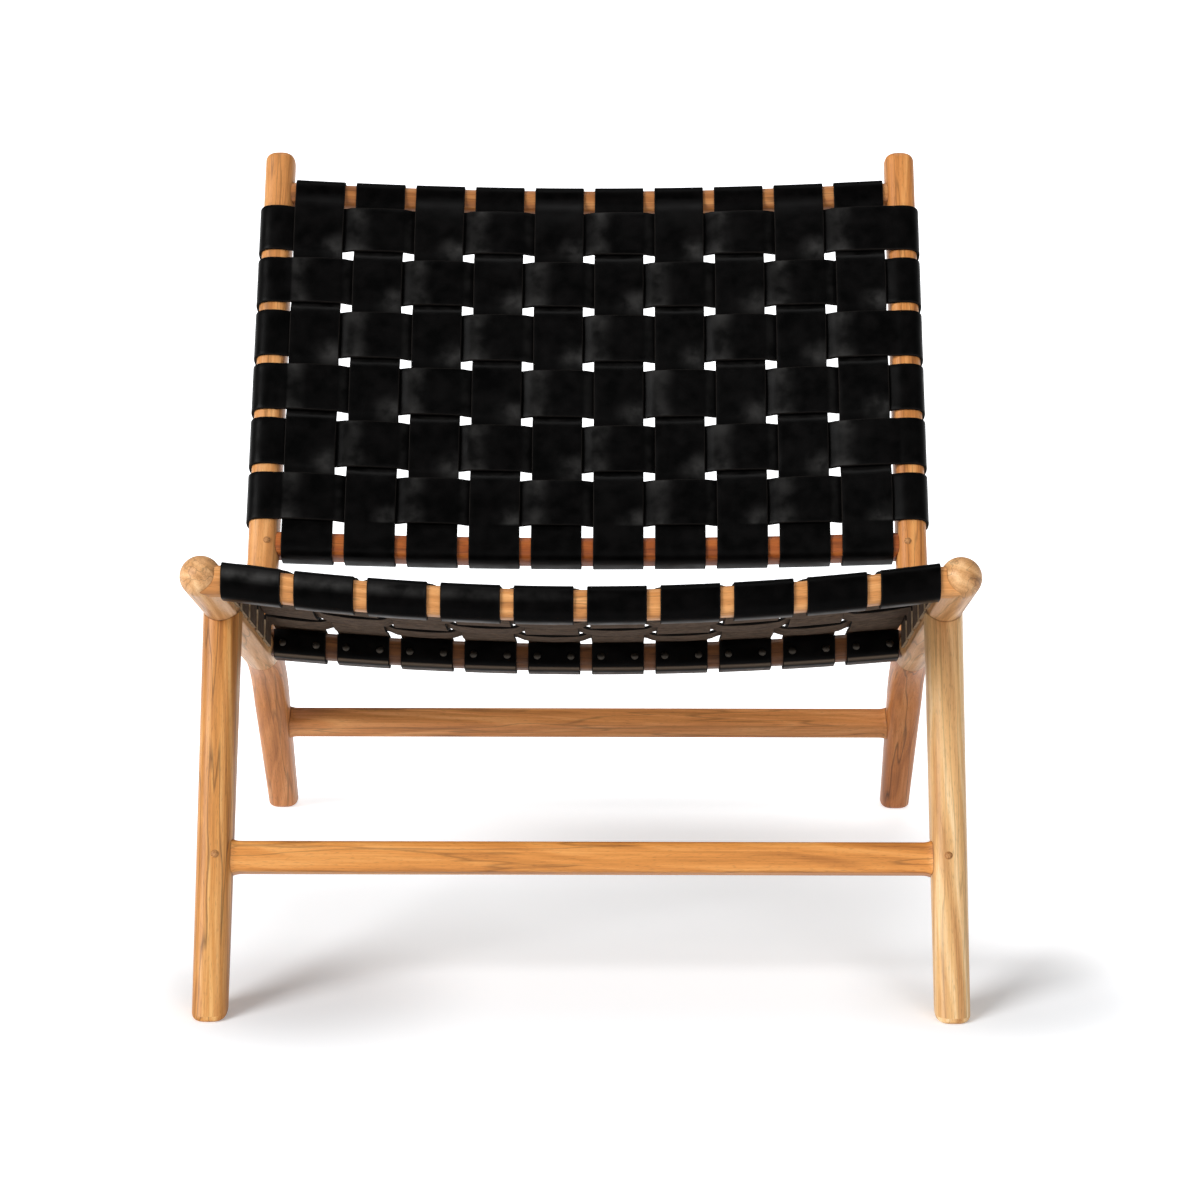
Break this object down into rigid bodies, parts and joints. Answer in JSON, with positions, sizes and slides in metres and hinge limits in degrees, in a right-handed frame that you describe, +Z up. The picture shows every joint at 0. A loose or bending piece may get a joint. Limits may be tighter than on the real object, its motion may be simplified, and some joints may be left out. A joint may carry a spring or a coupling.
{
  "type": "woven strap lounge chair",
  "caption": "Low reclined lounge chair: a pegged teak frame with raked legs, and black leather straps basket-woven across the bowed seat and back rails.",
  "frame": {"origin": "on the floor, under the middle of the chair's outline", "axes": "+Z up, +Y towards the chair's back, +X to the right of someone who looks at its front"},
  "size_m": [0.6872, 0.7838, 0.6798],
  "materials": {
    "teak": "oiled, satin",
    "teak_peg": "oiled, satin",
    "leather": "black, semi-gloss"
  },
  "bodies": {
    "root": {"left_side_rail": "teak", "left_front_leg": "teak", "left_rear_leg": "teak", "left_back_post": "teak", "right_side_rail": "teak", "right_front_leg": "teak", "right_rear_leg": "teak", "right_back_post": "teak", "front_seat_rail": "teak", "rear_seat_rail": "teak", "lower_back_rail": "teak", "top_back_rail": "teak", "front_stretcher": "teak", "rear_stretcher": "teak", "left_stretcher_peg": "teak_peg", "left_rail_peg": "teak_peg", "right_stretcher_peg": "teak_peg", "right_rail_peg": "teak_peg", "seat_long_strap_01": "leather", "seat_long_strap_02": "leather", "seat_long_strap_03": "leather", "seat_long_strap_04": "leather", "seat_long_strap_05": "leather", "seat_long_strap_06": "leather", "seat_long_strap_07": "leather", "seat_long_strap_08": "leather", "seat_long_strap_09": "leather", "seat_long_strap_10": "leather", "back_upright_strap_01": "leather", "back_upright_strap_02": "leather", "back_upright_strap_03": "leather", "back_upright_strap_04": "leather", "back_upright_strap_05": "leather", "back_upright_strap_06": "leather", "back_upright_strap_07": "leather", "back_upright_strap_08": "leather", "back_upright_strap_09": "leather", "back_upright_strap_10": "leather", "seat_cross_strap_01": "leather", "seat_cross_strap_02": "leather", "seat_cross_strap_03": "leather", "seat_cross_strap_04": "leather", "seat_cross_strap_05": "leather", "seat_cross_strap_06": "leather", "back_cross_strap_01": "leather", "back_cross_strap_02": "leather", "back_cross_strap_03": "leather", "back_cross_strap_04": "leather", "back_cross_strap_05": "leather", "back_cross_strap_06": "leather"}
  },
  "joints": []
}
